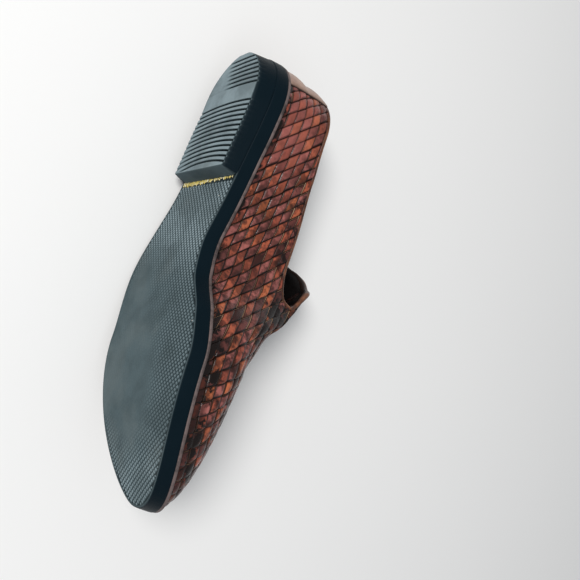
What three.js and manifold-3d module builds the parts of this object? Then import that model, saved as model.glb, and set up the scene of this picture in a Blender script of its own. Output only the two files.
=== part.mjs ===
// Woven leather loafer for the left foot, lying on its outer side. The pieces are shaped as the shoe
// stands, in mm: x from the heel to the toe, y towards the outer side, z up from the floor. The last
// lines turn the whole shoe onto the side it rests on.
import * as THREE from "three";
import { mergeVertices } from "three/addons/utils/BufferGeometryUtils.js";
import { ConvexHull } from "three/addons/math/ConvexHull.js";
import Module from "manifold-3d";

const wasm = await Module();
wasm.setup();

// Driving sizes of the last and the sole
const LENGTH = 292;
const BALL = 0.7 * LENGTH;
const HEEL_CENTRE = 0.125 * LENGTH;
const THROAT = 0.524 * LENGTH;
const TOE_LENGTH = LENGTH - BALL;
const TOE_SWING = -6;
const HEEL_ROUND = 2.05;
const TOE_ROUND = { inner: 2.3, outer: 1.62 };

// Underside of the sole: seat over the heel, waist down to the tread, and the lifted toe
const SEAT_HEIGHT = 13;
const BREAST = 0.31 * LENGTH;
const BREAST_HEIGHT = 10.2;
const TREAD_START = 0.6 * LENGTH;
const TOE_SPRING = 18;

// Thicknesses and gaps
const GAP = 0.3;
const SOLE_WALL = 9;
const SOLE_FLARE = 1.3;
const EDGE_BREAK = 0.8;
const MIDSOLE = 1.6;
const MIDSOLE_INSET = 0.7;
const FEATHER_INSET = 3.2;
const INSOLE = 2.4;
const LEATHER = 1.6;
const STRAP = 1.2;

// Outline of the sole, half widths either side of the middle line
const OUTLINE = [
  { run: HEEL_CENTRE, inner: 32, outer: 34.5 },
  { run: 0.2 * LENGTH, inner: 29.8, outer: 38.5 },
  { run: 0.27 * LENGTH, inner: 26, outer: 42 },
  { run: 0.35 * LENGTH, inner: 22.5, outer: 46 },
  { run: 0.44 * LENGTH, inner: 21.5, outer: 50 },
  { run: 0.53 * LENGTH, inner: 29.5, outer: 52 },
  { run: 0.61 * LENGTH, inner: 46, outer: 50.5 },
  { run: BALL, inner: 54.5, outer: 47.5 },
];

// Sections of the upper: height of the crown over the feather edge, its place across the shoe,
// how square the arch is and how far the wall swells past its foot
const SECTIONS = [
  { run: HEEL_CENTRE, crown: 110, across: 0.5, square: 2.4, swell: 2.2 },
  { run: 80, crown: 101, across: 5, square: 2.4, swell: 1.8 },
  { run: 115, crown: 97, across: 0, square: 2.2, swell: 1.6 },
  { run: 135, crown: 92.5, across: -3, square: 2, swell: 1.6 },
  { run: THROAT, crown: 85.5, across: -5, square: 1.9, swell: 1.6 },
  { run: 168, crown: 71.5, across: -5, square: 2.05, swell: 1.8 },
  { run: 186, crown: 54.5, across: -7, square: 2.15, swell: 2 },
  { run: BALL, crown: 44, across: -11, square: 2.25, swell: 2 },
];
const TOE_SQUARE = 1.45;

// Topline: height of the rim over the feather edge, up to the crown at the throat
const TOPLINE = [
  { run: -20, inner: 39, outer: 39 },
  { run: HEEL_CENTRE, inner: 38.5, outer: 44 },
  { run: 70, inner: 43.5, outer: 52 },
  { run: 100, inner: 50, outer: 70 },
  { run: 118, inner: 53, outer: 84 },
  { run: 126, inner: 54.3, outer: 89.5 },
  { run: 134, inner: 56, outer: 93 },
  { run: 142, inner: 58, outer: 95.5 },
  { run: THROAT - 5, inner: 60.5, outer: 96 },
  { run: THROAT - 2.5, inner: 64, outer: 96 },
  { run: THROAT - 1, inner: 71, outer: 96 },
  { run: THROAT - 0.3, inner: 82, outer: 96 },
  { run: THROAT, inner: 96, outer: 96 },
];

// Lip of the throat: how far its middle stands back, where along the shoe that begins, and from
// which share of the height
const LIP = { back: 19, start: 106, share: 0.7 };

// Weave: long and short half diagonals of the diamonds, height of the strips, turn on the quarters
const DIAMOND_LONG = 6.8;
const DIAMOND_SHORT = 3.3;
const STRIP_RISE = 0.9;
const BEND_START = 150;
const BEND_RADIUS = 300;
const BEND_DEPTH = 45;

const HEEL_RUN = 50;
const TOE_RUN = 90;
const RUN_BACK = HEEL_CENTRE - HEEL_RUN;
const RUN_TOE = BALL + TOE_RUN;
const INNER = -1;
const OUTER = 1;
const clamp = (value, low, high) => Math.min(high, Math.max(low, value));
const sideName = (side) => (side === INNER ? "inner" : "outer");

// A smooth curve through one column of a table, level at both ends and without overshoot
function curve(rows, key) {
  const last = rows.length - 1;
  const grade = rows.slice(1).map((row, i) => (row[key] - rows[i][key]) / (row.run - rows[i].run));
  const slope = rows.map((row, i) => {
    if (i === 0 || i === last) return 0;
    const [before, after] = [grade[i - 1], grade[i]];
    return before * after <= 0 ? 0 : (2 * before * after) / (before + after);
  });
  return (run) => {
    const x = clamp(run, rows[0].run, rows[last].run);
    const i = clamp(rows.findIndex((row) => row.run >= x) - 1, 0, last - 1);
    const span = rows[i + 1].run - rows[i].run;
    const t = (x - rows[i].run) / span;
    const near = (1 + 2 * t) * (1 - t) ** 2 * rows[i][key] + t * (1 - t) ** 2 * span * slope[i];
    const far = t * t * (3 - 2 * t) * rows[i + 1][key] - t * t * (1 - t) * span * slope[i + 1];
    return near + far;
  };
}

const outline = { inner: curve(OUTLINE, "inner"), outer: curve(OUTLINE, "outer") };
const crown = curve(SECTIONS, "crown");
const across = curve(SECTIONS, "across");
const square = curve(SECTIONS, "square");
const swell = curve(SECTIONS, "swell");

// How far back the crown of a column leans, most at the throat
const ease = (value) => clamp(value, 0, 1) ** 2 * (3 - 2 * clamp(value, 0, 1));
function leanBack(run) {
  if (run < THROAT) return LIP.back * ease((run - LIP.start) / (THROAT - LIP.start));
  return LIP.back * (1 - ease((run - THROAT) / (BALL - THROAT)));
}

// Height of the sole's underside along the shoe
function underside(x) {
  if (x < BREAST) return SEAT_HEIGHT + ((BREAST_HEIGHT - SEAT_HEIGHT) * x) / BREAST;
  if (x < TREAD_START) {
    const t = (x - BREAST) / (TREAD_START - BREAST);
    const seatSlope = ((BREAST_HEIGHT - SEAT_HEIGHT) / BREAST) * (TREAD_START - BREAST);
    return BREAST_HEIGHT * (1 + 2 * t) * (1 - t) ** 2 + seatSlope * t * (1 - t) ** 2;
  }
  return x < BALL ? 0 : TOE_SPRING * ((x - BALL) / TOE_LENGTH) ** 2;
}
const soleTop = (x) => underside(x) + SOLE_WALL;
const midsoleTop = (x) => soleTop(x) + GAP + MIDSOLE;
const feather = (x) => midsoleTop(x) + 2 * GAP;

// A column is an upright plane from the middle line out to the edge. Columns stand square to the
// shoe between heel and ball, and fan round the heel and the toe.
function column(side, run) {
  const rounded = (turn, along, half, power) => {
    const sum = Math.abs(Math.sin(turn) / along) ** power + Math.abs(Math.cos(turn) / half) ** power;
    return sum ** (-1 / power);
  };
  const middle = clamp(run, HEEL_CENTRE, BALL);
  const half = outline[sideName(side)](middle) - side * across(middle);
  let turn = 0;
  let reach = half;
  if (run < HEEL_CENTRE) {
    turn = ((run - HEEL_CENTRE) / HEEL_RUN) * (Math.PI / 2);
    reach = rounded(turn, HEEL_CENTRE, half, HEEL_ROUND);
  }
  if (run > BALL) {
    turn = ((run - BALL) / TOE_RUN) * (Math.PI / 2);
    reach = rounded(turn, TOE_LENGTH, half, TOE_ROUND[sideName(side)]);
  }
  const point = (radius, z) => {
    const x = middle + Math.sin(turn) * radius;
    const swing = x > BALL ? TOE_SWING * ((x - BALL) / TOE_LENGTH) ** 2 : 0;
    const height = typeof z === "function" ? z(x) : z;
    return new THREE.Vector3(x, across(middle) + side * Math.cos(turn) * radius + swing, height);
  };
  return { side, run, reach, point };
}

// The upper's wall in one column: an arch from the feather edge to the crown, read by the distance
// up the wall and the distance out from it
function wall(side, run) {
  const plane = column(side, run);
  const foot = plane.reach - FEATHER_INSET;
  const footHeight = plane.point(foot, feather).z;
  const middle = clamp(run, HEEL_CENTRE, BALL);
  const lean = leanBack(run);
  const top = feather(middle) + crown(middle - lean);
  const toe = clamp((run - BALL) / TOE_RUN, 0, 1);
  const power = 2 / (square(middle) + (TOE_SQUARE - square(BALL)) * toe);
  const steps = 48;
  const arch = [];
  let length = 0;
  for (let i = 0; i <= steps; i++) {
    const angle = ((i / steps) * Math.PI) / 2;
    const radius = i === steps ? 0 : foot * Math.cos(angle) ** power + swell(middle) * Math.sin(2 * angle);
    const height = footHeight + (top - footHeight) * Math.sin(angle) ** power;
    if (i > 0) length += Math.hypot(radius - arch[i - 1].radius, height - arch[i - 1].height);
    arch.push({ radius, height, length });
  }
  const leaned = (radius, height) => {
    const share = (height - footHeight) / (top - footHeight);
    const point = plane.point(radius, height);
    point.x -= lean * ease((share - LIP.share) / (1 - LIP.share));
    return point;
  };
  const at = (up, out) => {
    if (up <= 0) return plane.point(foot + out, footHeight + up);
    const i = clamp(arch.findIndex((place) => place.length >= up), 1, steps);
    const high = up >= length ? steps : i;
    const [a, b] = [arch[high - 1], arch[high]];
    const t = up >= length ? 1 : (up - a.length) / (b.length - a.length);
    const tangent = up >= length ? [-1, 0] : [b.radius - a.radius, b.height - a.height];
    const size = Math.hypot(...tangent);
    const radius = a.radius + t * (b.radius - a.radius) + (out * tangent[1]) / size;
    return leaned(radius, a.height + t * (b.height - a.height) - (out * tangent[0]) / size);
  };
  const rise = footHeight + curve(TOPLINE, sideName(side))(run);
  const found = arch.findIndex((place) => place.height >= rise);
  let rim = length;
  if (run < THROAT && found > 0) {
    const [a, b] = [arch[found - 1], arch[found]];
    rim = a.length + ((b.length - a.length) * (rise - a.height)) / (b.height - a.height);
  }
  return { at, girth: length, rim };
}

// Columns all round the shoe, from the back of the heel along the inner side to the toe and back
function runs(heelSteps, throatRuns, midSteps, toeSteps) {
  const list = [];
  for (let i = 0; i < heelSteps; i++) list.push(RUN_BACK + (HEEL_RUN * i) / heelSteps);
  for (let i = 0; i <= midSteps; i++) list.push(HEEL_CENTRE + ((BALL - HEEL_CENTRE) * i) / midSteps);
  for (let i = 1; i <= toeSteps; i++) list.push(BALL + (TOE_RUN * i) / toeSteps);
  return [...list, ...throatRuns].sort((a, b) => a - b);
}
function around(list) {
  const inner = list.map((run) => ({ side: INNER, run }));
  const outer = list.slice(1, -1).reverse().map((run) => ({ side: OUTER, run }));
  return [...inner, ...outer];
}

// Closed bodies are made from triangles whose corners are joined where they meet
function bodyFrom(triangles) {
  const corners = triangles.flat().flatMap((p) => [p.x, p.y, p.z]);
  const loose = new THREE.BufferGeometry();
  loose.setAttribute("position", new THREE.Float32BufferAttribute(corners, 3));
  const joined = mergeVertices(loose, 1e-3);
  const index = [...joined.index.array];
  const kept = [];
  for (let i = 0; i < index.length; i += 3) {
    const [a, b, c] = index.slice(i, i + 3);
    if (a !== b && b !== c && c !== a) kept.push(a, b, c);
  }
  const vertProperties = joined.attributes.position.array;
  const triVerts = new Uint32Array(kept);
  return new wasm.Manifold(new wasm.Mesh({ numProp: 3, vertProperties, triVerts }));
}
function quad(list, a, b, c, d) {
  list.push([a, b, c], [a, c, d]);
}
// Rings of the same columns stacked from the underside to the top; the first and last lie on the
// middle line and close the body. Facets are cut the same way on faces that lie over one another.
function stack(rings) {
  const triangles = [];
  const length = (ring) => Math.max(...ring.map((p) => p.x)) - ring[0].x;
  for (let i = 0; i + 1 < rings.length; i++) {
    const [low, high] = [rings[i], rings[i + 1]];
    const inward = length(high) < length(low);
    low.forEach((point, k) => {
      const next = (k + 1) % low.length;
      if (inward) quad(triangles, low[next], high[next], high[k], point);
      else quad(triangles, point, low[next], high[next], high[k]);
    });
  }
  return bodyFrom(triangles);
}

const soleRuns = runs(7, [BREAST], 15, 13);
const throatRuns = [12, 7, 4, 2.2, 1.1, 0.5, 0].map((before) => THROAT - before);
const upperRuns = runs(7, [BREAST, ...throatRuns], 15, 13);

// Outsole: one rubber unit under the whole shoe, its wall leaning out to a broken upper edge
function outsole() {
  const planes = around(soleRuns).map(({ side, run }) => column(side, run));
  const ring = (share, inset, height) =>
    planes.map((plane) => plane.point(share * (plane.reach - inset), height));
  const lifted = (rise) => (x) => underside(x) + rise;
  return stack([
    ring(0, 0, lifted(0)),
    ring(0.45, 0, lifted(0)),
    ring(0.8, 0, lifted(0)),
    ring(1, SOLE_FLARE + EDGE_BREAK, lifted(0)),
    ring(1, SOLE_FLARE, lifted(EDGE_BREAK)),
    ring(1, 0, lifted(SOLE_WALL - EDGE_BREAK)),
    ring(1, EDGE_BREAK / 2, lifted(SOLE_WALL)),
    ring(0.6, 0, lifted(SOLE_WALL)),
    ring(0, 0, lifted(SOLE_WALL)),
  ]);
}

// A level-sided sheet that follows the top of the sole
function sheet(inset, bottom, thickness) {
  const planes = around(soleRuns).map(({ side, run }) => column(side, run));
  const ring = (share, rise) =>
    planes.map((plane) => plane.point(share * (plane.reach - inset), (x) => bottom(x) + rise));
  const shares = [0, 0.6, 1];
  const under = shares.map((share) => ring(share, 0));
  const over = shares.map((share) => ring(share, thickness));
  return stack([...under, ...over.reverse()]);
}

const midsole = () => sheet(MIDSOLE_INSET, (x) => soleTop(x) + GAP, MIDSOLE);
const insole = () => sheet(FEATHER_INSET + LEATHER + 2, (x) => feather(x) + GAP, INSOLE);

// Heel block: tapers down to the ground, with bowed ribs before and behind a plain band
const HEEL_TAPER = 3.6;
const HEEL_TOP_INSET = 1.9;
const BREAST_LEAN = 1.2;
const RIB = { pitch: 3.4, groove: 1.5, depth: 1.5, bow: 95 };
const RIBS_FRONT = { count: 13, start: 4.6 };
const RIBS_REAR = { count: 6, start: 58 };
function heel() {
  const list = soleRuns.filter((run) => run < BREAST - 2);
  const ring = (inset, height, breast) => {
    const half = (side) => {
      const planes = list.map((run) => column(side, run));
      const points = planes.map((plane) => plane.point(plane.reach - inset, height));
      const edge = column(side, breast);
      return [...points, edge.point(edge.reach - inset, height)];
    };
    return [...half(INNER), ...half(OUTER).slice(1).reverse()];
  };
  const rings = [
    ring(HEEL_TOP_INSET + HEEL_TAPER, 0, BREAST - BREAST_LEAN - EDGE_BREAK),
    ring(HEEL_TOP_INSET + HEEL_TAPER - EDGE_BREAK / 2, EDGE_BREAK, BREAST - BREAST_LEAN),
    ring(HEEL_TOP_INSET, (x) => underside(x) - GAP, BREAST),
  ];
  const triangles = [];
  const cap = (points, up) => {
    const flat = points.map((p) => new THREE.Vector2(p.x, p.y));
    THREE.ShapeUtils.triangulateShape(flat, []).forEach(([a, b, c]) => {
      triangles.push(up ? [points[a], points[b], points[c]] : [points[a], points[c], points[b]]);
    });
  };
  cap(rings[0], false);
  cap(rings[2], true);
  for (let i = 0; i < 2; i++) {
    rings[i].forEach((point, k) => {
      const next = (k + 1) % rings[i].length;
      quad(triangles, point, rings[i][next], rings[i + 1][next], rings[i + 1][k]);
    });
  }
  let block = bodyFrom(triangles);
  [RIBS_FRONT, RIBS_REAR].forEach(({ count, start }) => {
    for (let i = 0; i < count; i++) {
      block = block.subtract(groove(BREAST - BREAST_LEAN - start - i * RIB.pitch));
    }
  });
  return block;
}
// One groove of the heel: a bowed bar, rounder towards the front of the heel than at the back
function groove(front) {
  const bow = RIB.bow + 2.5 * (BREAST - front);
  const centre = front + bow;
  const sides = 8;
  const spread = 44 / bow;
  const bar = [];
  for (let i = 0; i <= sides; i++) {
    const angle = Math.PI + spread * ((2 * i) / sides - 1);
    const place = (radius, z) => {
      const x = centre - 6 + radius * Math.cos(angle);
      return new THREE.Vector3(x, 3 + radius * Math.sin(angle), z);
    };
    const [near, far] = [bow - 6, bow - 6 + RIB.groove];
    bar.push([place(near, -1), place(far, -1), place(far, RIB.depth), place(near, RIB.depth)]);
  }
  const triangles = [];
  for (let i = 0; i < sides; i++) {
    for (let k = 0; k < 4; k++) {
      const next = (k + 1) % 4;
      quad(triangles, bar[i + 1][k], bar[i + 1][next], bar[i][next], bar[i][k]);
    }
  }
  quad(triangles, ...bar[0]);
  quad(triangles, ...bar[sides].toReversed());
  return bodyFrom(triangles);
}

// A shell between two distances out from the upper's wall, from the feather edge to the topline.
// Ahead of the throat its two sides join along the crown.
function shell(list, rows, out, inside) {
  const walls = around(list).map(({ side, run }) => ({ run, ...wall(side, run) }));
  const ring = (share, distance) => walls.map((place) => place.at(share * place.rim, distance));
  const rings = [];
  for (let q = 0; q <= rows; q++) rings.push(ring(q / rows, out));
  for (let q = rows; q >= 0; q--) rings.push(ring(q / rows, inside));
  const triangles = [];
  rings.forEach((points, i) => {
    const above = rings[(i + 1) % rings.length];
    points.forEach((point, k) => {
      const next = (k + 1) % points.length;
      const closed = i === rows && walls[k].run >= THROAT && walls[next].run >= THROAT;
      if (!closed) quad(triangles, point, points[next], above[next], above[k]);
    });
  });
  return bodyFrom(triangles);
}

// A strip of the same shell that covers part of one side or spans the back of the heel
function patch(places, rows, low, high, out, inside) {
  const walls = places.map(({ side, run }) => wall(side, run));
  const strip = (place, distance) =>
    Array.from({ length: rows + 1 }, (_, q) => low + (place.rim + high - low) * (q / rows)).map((up) =>
      place.at(up, distance));
  const grid = (distance) => walls.map((place) => strip(place, distance));
  const [face, back] = [grid(out), grid(inside)];
  const triangles = [];
  const last = walls.length - 1;
  for (let k = 0; k < last; k++) {
    for (let q = 0; q < rows; q++) {
      quad(triangles, face[k][q], face[k + 1][q], face[k + 1][q + 1], face[k][q + 1]);
      quad(triangles, back[k][q], back[k][q + 1], back[k + 1][q + 1], back[k + 1][q]);
    }
    quad(triangles, face[k][rows], face[k + 1][rows], back[k + 1][rows], back[k][rows]);
    quad(triangles, back[k][0], back[k + 1][0], face[k + 1][0], face[k][0]);
  }
  for (let q = 0; q < rows; q++) {
    quad(triangles, back[0][q], face[0][q], face[0][q + 1], back[0][q + 1]);
    quad(triangles, face[last][q], back[last][q], back[last][q + 1], face[last][q + 1]);
  }
  return bodyFrom(triangles);
}

// Where a point of the flat woven sheet comes to lie: along the shoe, and up the wall from its foot.
// The sheet lies straight over the vamp, fans down over the toe and turns along the quarters.
function drape(side, along, away) {
  let run = along;
  let down = away;
  if (along > BALL) {
    run = RUN_TOE - TOE_RUN * (Math.atan2(away, along - BALL) / (Math.PI / 2));
    down = Math.hypot(away, along - BALL);
  } else if (along < BEND_START) {
    const turned = Math.atan2(BEND_START - along, BEND_RADIUS - away);
    down = BEND_RADIUS - Math.hypot(BEND_START - along, BEND_RADIUS - away);
    run = BEND_START - turned * (BEND_RADIUS - BEND_DEPTH);
  }
  const place = wall(side, run);
  const reference = run < THROAT ? wall(side, THROAT).girth : place.girth;
  return { place, run, up: reference - down };
}

// Woven sheet: diamonds on a staggered grid, each raised in its middle where a strip passes over
function wovenSheet() {
  const firstColumn = -4;
  const lastColumn = 62;
  const rowsEach = 46;
  const spare = 7;
  const nodes = new Map();
  const node = (i, j) => {
    const name = `${i},${j}`;
    if (!nodes.has(name)) {
      const side = j < 0 ? INNER : OUTER;
      const along = BALL + TOE_LENGTH - i * DIAMOND_LONG;
      const { place, run, up } = drape(side, along, Math.abs(j) * DIAMOND_SHORT);
      const ahead = wall(side, Math.min(run + 2 * spare, RUN_TOE));
      const highest = Math.max(place.rim, ahead.rim) + spare;
      const fits = up > -2 * spare && up < highest && run > RUN_BACK + 0.5;
      const raised = (i + j) % 2 === 0 ? STRIP_RISE : 0;
      nodes.set(name, fits ? { face: place.at(up, raised), back: place.at(up, -2 * LEATHER) } : null);
    }
    return nodes.get(name);
  };
  const triangles = [];
  const edges = new Map();
  const facet = (...names) => {
    const [a, b, c] = names.map(([i, j]) => node(i, j));
    triangles.push([a.face, b.face, c.face], [a.back, c.back, b.back]);
    names.forEach((from, k) => {
      const to = names[(k + 1) % 3];
      const reverse = `${to}|${from}`;
      if (edges.has(reverse)) edges.delete(reverse);
      else edges.set(`${from}|${to}`, [node(...from), node(...to)]);
    });
  };
  for (let i = firstColumn; i <= lastColumn; i++) {
    for (let j = -rowsEach; j <= rowsEach; j++) {
      const rim = [[i - 1, j], [i, j + 1], [i + 1, j], [i, j - 1]];
      if ((i + j) % 2 === 0 && [[i, j], ...rim].every(([a, b]) => node(a, b))) {
        rim.forEach((corner, k) => facet([i, j], corner, rim[(k + 1) % 4]));
      }
    }
  }
  edges.forEach(([from, to]) => quad(triangles, to.face, from.face, from.back, to.back));
  return bodyFrom(triangles);
}

// Upper: the smooth wall taken down to the woven face, plain at the back seam under the strap, and
// cut clear of the binding
const SEAM_HALF = 15;
const STRAP_HALF = 16;
function backPlaces(half, steps) {
  const places = [];
  for (let i = steps; i > 0; i--) places.push({ side: OUTER, run: RUN_BACK + (half * i) / steps });
  for (let i = 0; i <= steps; i++) places.push({ side: INNER, run: RUN_BACK + (half * i) / steps });
  return places;
}
function upper() {
  const body = shell(upperRuns, 6, 3, -LEATHER);
  const seam = patch(backPlaces(SEAM_HALF, 4), 5, -3, 3, 0.3, -2 * LEATHER);
  return body.intersect(wovenSheet().add(seam)).subtract(binding(GAP)).simplify(0.02);
}

// Binding: a rolled edge that runs round the mouth of the shoe on top of the wall, or the room it
// takes with some to spare
const BINDING_HALF = 1.7;
const BINDING_HEIGHT = 1.7;
function binding(spare = 0) {
  const list = upperRuns.filter((run) => run <= THROAT);
  const walls = around(list).map(({ side, run }) => wall(side, run));
  const middle = (STRIP_RISE / 2 - LEATHER) / 2;
  const edge = walls.map((place) => place.at(place.rim, middle));
  const profile = [[-1, 0], [1, 0], [0.8, 0.7], [0, 1], [-0.8, 0.7]];
  const loop = walls.map((place, k) => {
    const outward = place.at(place.rim, middle + 1).sub(edge[k]);
    const onward = edge[(k + 1) % edge.length].clone().sub(edge.at(k - 1));
    const away = outward.clone().cross(onward).normalize();
    return profile.map(([x, y]) => {
      const point = edge[k].clone().addScaledVector(outward, x * (BINDING_HALF + spare));
      return point.addScaledVector(away, 2 * GAP - spare + y * (BINDING_HEIGHT + 2 * spare));
    });
  });
  const triangles = [];
  loop.forEach((section, k) => {
    const next = loop[(k + 1) % loop.length];
    section.forEach((point, i) => {
      const after = (i + 1) % section.length;
      quad(triangles, point, next[i], next[after], section[after]);
    });
  });
  return bodyFrom(triangles);
}

// Back strap: a plain strip sewn over the seam at the back of the heel
function backStrap() {
  const inside = STRIP_RISE + GAP;
  return patch(backPlaces(STRAP_HALF, 5), 8, 0.5, -1, inside + STRAP, inside);
}

const RUBBER = 1.15e-3;
const HIDE = 0.9e-3;
const pieces = [
  { name: "outsole", body: outsole(), density: RUBBER, color: "#2f373a", roughness: 0.75 },
  { name: "heel", body: heel(), density: RUBBER, color: "#3a4447", roughness: 0.75 },
  { name: "midsole", body: midsole(), density: HIDE, color: "#6d615c", roughness: 0.8 },
  { name: "insole", body: insole(), density: HIDE, color: "#1b1a1a", roughness: 0.9 },
  { name: "upper", body: upper(), density: HIDE, color: "#7f4432", roughness: 0.45 },
  { name: "topline_binding", body: binding(), density: HIDE, color: "#8a5336", roughness: 0.5 },
  { name: "back_strap", body: backStrap(), density: HIDE, color: "#9a6850", roughness: 0.5 },
];

// The side it rests on: the face of its outer hull, turned to the outer side, that lies on both the
// sole's edge and the upper and that its weight falls through
function restingTurn() {
  const corners = [];
  const ofUpper = new Set();
  const balance = new THREE.Vector3();
  let weight = 0;
  pieces.forEach(({ name, body, density }) => {
    const { vertProperties: v, triVerts } = body.getMesh();
    const corner = (i) => new THREE.Vector3(v[3 * i], v[3 * i + 1], v[3 * i + 2]);
    for (let i = 0; i < v.length / 3; i++) {
      const point = corner(i);
      corners.push(point);
      if (name === "upper") ofUpper.add(point);
    }
    for (let i = 0; i < triVerts.length; i += 3) {
      const [a, b, c] = [0, 1, 2].map((k) => corner(triVerts[i + k]));
      const share = (a.dot(b.clone().cross(c)) / 6) * density;
      balance.addScaledVector(a.clone().add(b).add(c), share / 4);
      weight += share;
    }
  });
  balance.divideScalar(weight);
  const hull = new ConvexHull().setFromPoints(corners);
  const facets = hull.faces.filter((face) => face.normal.y > 0.7);
  const triangle = new THREE.Triangle();
  const under = facets.find((face) => {
    const ends = [face.edge.tail(), face.edge.head(), face.edge.next.head()].map((end) => end.point);
    triangle.set(...ends);
    const drop = balance.clone().addScaledVector(face.normal, face.constant - face.normal.dot(balance));
    return ends.some((end) => ofUpper.has(end)) && triangle.containsPoint(drop);
  });
  const up = under.normal.clone().negate();
  const forward = new THREE.Vector3(1, 0, 0).addScaledVector(up, -up.x).normalize();
  const turn = new THREE.Matrix4().makeBasis(forward, up.clone().cross(forward), up).transpose();
  const box = new THREE.Box3().setFromPoints(corners.map((p) => p.clone().applyMatrix4(turn)));
  const middle = box.getCenter(new THREE.Vector3());
  return turn.premultiply(new THREE.Matrix4().makeTranslation(-middle.x, -middle.y, -box.min.z));
}

const shoe = new THREE.Group();
const turn = restingTurn();
pieces.forEach(({ name, body, color, roughness }) => {
  const { vertProperties, triVerts } = body.getMesh();
  const geometry = new THREE.BufferGeometry();
  geometry.setAttribute("position", new THREE.Float32BufferAttribute(vertProperties, 3));
  geometry.setIndex([...triVerts]);
  geometry.applyMatrix4(turn);
  const mesh = new THREE.Mesh(geometry, new THREE.MeshStandardMaterial({ color, roughness, metalness: 0 }));
  mesh.name = name;
  shoe.add(mesh);
});

export default shoe;
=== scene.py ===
"""A woven leather loafer for the left foot, lying on its outer side on a pale floor.

Pieces are shaped in millimetres as the shoe stands: x from heel to toe, y towards the outer side, z up.
They are then laid on the side that the shoe rests on, in metres.
"""
import math

import bpy
import bmesh
import numpy as np
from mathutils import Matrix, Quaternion, Vector


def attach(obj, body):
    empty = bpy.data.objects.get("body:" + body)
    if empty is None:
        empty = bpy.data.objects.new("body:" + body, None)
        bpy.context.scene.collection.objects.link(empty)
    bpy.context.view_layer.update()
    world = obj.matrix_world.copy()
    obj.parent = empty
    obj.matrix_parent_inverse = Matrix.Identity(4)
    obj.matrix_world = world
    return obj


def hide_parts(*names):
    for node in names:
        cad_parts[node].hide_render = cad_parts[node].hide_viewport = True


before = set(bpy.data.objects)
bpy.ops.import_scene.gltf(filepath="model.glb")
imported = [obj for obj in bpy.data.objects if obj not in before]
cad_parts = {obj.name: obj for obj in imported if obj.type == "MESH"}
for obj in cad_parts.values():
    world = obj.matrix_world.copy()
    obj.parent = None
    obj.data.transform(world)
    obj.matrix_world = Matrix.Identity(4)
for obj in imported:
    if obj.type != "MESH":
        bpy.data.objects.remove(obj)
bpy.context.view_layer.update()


# OUTSOLE
# One moulded rubber unit under the whole shoe. Its wall leans out to a rounded upper edge, the waist is
# cut in on the inner side, and the ground face is sunk a little inside a plain rim to carry the tread.
LENGTH = 292.0
BALL = 0.7 * LENGTH
HEEL_CENTRE = 0.125 * LENGTH
TOE_LENGTH = LENGTH - BALL
TOE_SWING = -6.0
INNER, OUTER = -1, 1
HEEL_ROUND = 1.88
TOE_ROUND = {INNER: 2.3, OUTER: 1.62}
SEAT_HEIGHT = 13.0
BREAST = 0.31 * LENGTH
BREAST_HEIGHT = 10.2
TREAD_START = 0.6 * LENGTH
TOE_SPRING = 18.0
SOLE_WALL = 9.0
HEEL_RUN = 50.0
TOE_RUN = 90.0
RUN_BACK = HEEL_CENTRE - HEEL_RUN
RUN_TOE = BALL + TOE_RUN
# place along the shoe, half width on the inner side, half width on the outer side
OUTLINE = np.array([
    (HEEL_CENTRE, 32, 34.5),
    (0.2 * LENGTH, 29.8, 38.5),
    (0.27 * LENGTH, 26, 41.6),
    (0.35 * LENGTH, 22.5, 45),
    (0.44 * LENGTH, 21.5, 48.6),
    (0.53 * LENGTH, 29.5, 50.4),
    (0.61 * LENGTH, 46, 48.4),
    (BALL, 54.5, 45),
])
THROAT = 0.524 * LENGTH
# place along the shoe, height of the crown, its place across, squareness of the arch, swell of the wall
SECTIONS = np.array([
    (HEEL_CENTRE, 110, 0.5, 2.4, 2.2),
    (80, 101, 5, 2.4, 1.8),
    (115, 97, 0, 2.2, 1.6),
    (135, 92.5, -3, 2.0, 1.6),
    (THROAT, 80.5, -5, 1.9, 1.6),
    (168, 64, -5, 2.05, 1.8),
    (186, 53, -7, 2.15, 2),
    (BALL, 44, -11, 2.25, 2),
])
# the standing shoe's direction that points up once it lies on its side, and how far it is then moved
LYING_UP = np.array((0.06306206, -0.99180868, -0.11107979))
SET_DOWN = np.array((-145.358721, -52.726288, 43.199405))
lying_ahead = np.array((1.0, 0.0, 0.0)) - LYING_UP[0] * LYING_UP
lying_ahead /= np.linalg.norm(lying_ahead)
lying_turn = np.array((lying_ahead, np.cross(LYING_UP, lying_ahead), LYING_UP))


def lay(points):
    """Points of the standing shoe in mm, laid on the floor in metres."""
    return (np.asarray(points) @ lying_turn.T + SET_DOWN) / 1000


def curve(table, column):
    """A smooth curve through one column of a table, level at both ends and without overshoot."""
    x, y = table[:, 0], table[:, column]
    grade = np.diff(y) / np.diff(x)
    slope = np.zeros(len(x))
    for i in range(1, len(x) - 1):
        before, after = grade[i - 1], grade[i]
        if before * after > 0:
            slope[i] = 2 * before * after / (before + after)

    def at(places):
        q = np.clip(np.asarray(places, float), x[0], x[-1])
        i = np.clip(np.searchsorted(x, q) - 1, 0, len(x) - 2)
        span = x[i + 1] - x[i]
        t = (q - x[i]) / span
        near = (1 + 2 * t) * (1 - t) ** 2 * y[i] + t * (1 - t) ** 2 * span * slope[i]
        far = t * t * (3 - 2 * t) * y[i + 1] - t * t * (1 - t) * span * slope[i + 1]
        return near + far
    return at


half_width = {INNER: curve(OUTLINE, 1), OUTER: curve(OUTLINE, 2)}
crown, across, squareness, swell = (curve(SECTIONS, k) for k in (1, 2, 3, 4))


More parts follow.
